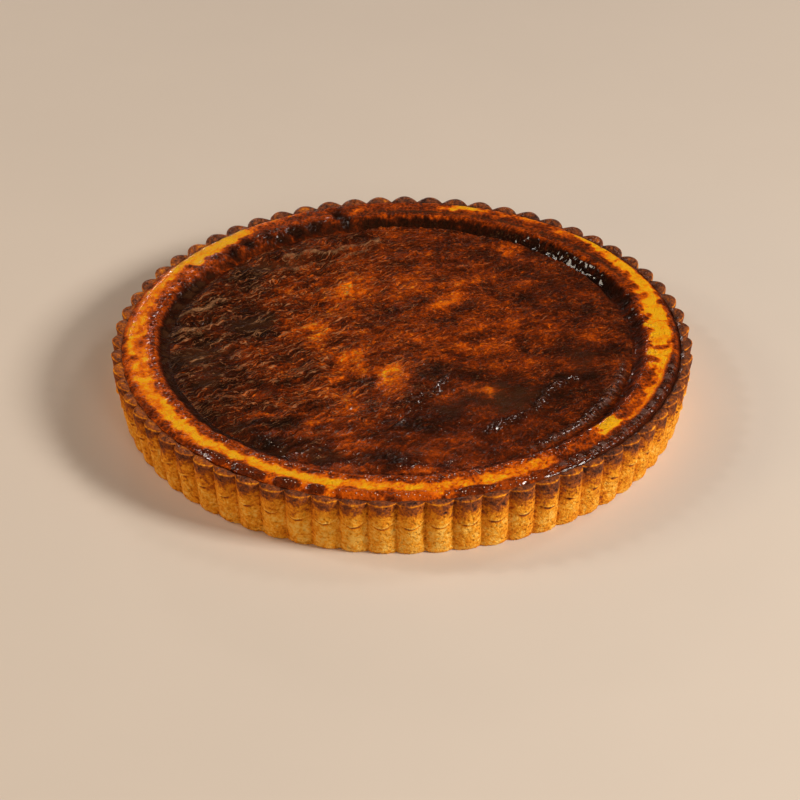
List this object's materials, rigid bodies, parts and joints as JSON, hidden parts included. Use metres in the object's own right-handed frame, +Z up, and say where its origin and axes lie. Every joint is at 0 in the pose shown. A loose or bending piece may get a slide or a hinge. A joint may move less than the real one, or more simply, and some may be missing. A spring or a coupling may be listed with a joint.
{
  "type": "custard tart",
  "caption": "Large round custard tart: a fluted shortcrust shell with a leaning wall, filled with custard whose burnt, wrinkled top sinks inside a raised amber ring.",
  "frame": {"origin": "middle of the flat underside", "axes": "+Z up through the middle of the tart; +X to the right and +Y to the back as the tart is seen from its front"},
  "size_m": [0.2496, 0.2494, 0.0279],
  "materials": {
    "crust": "baked shortcrust pastry, golden tan and matt, burnt dark brown near the rim",
    "custard": "burnt custard skin, dark red-brown and half glossy, with an amber ring at the crust"
  },
  "bodies": {
    "root": {"crust": "crust", "custard": "custard"}
  },
  "joints": []
}
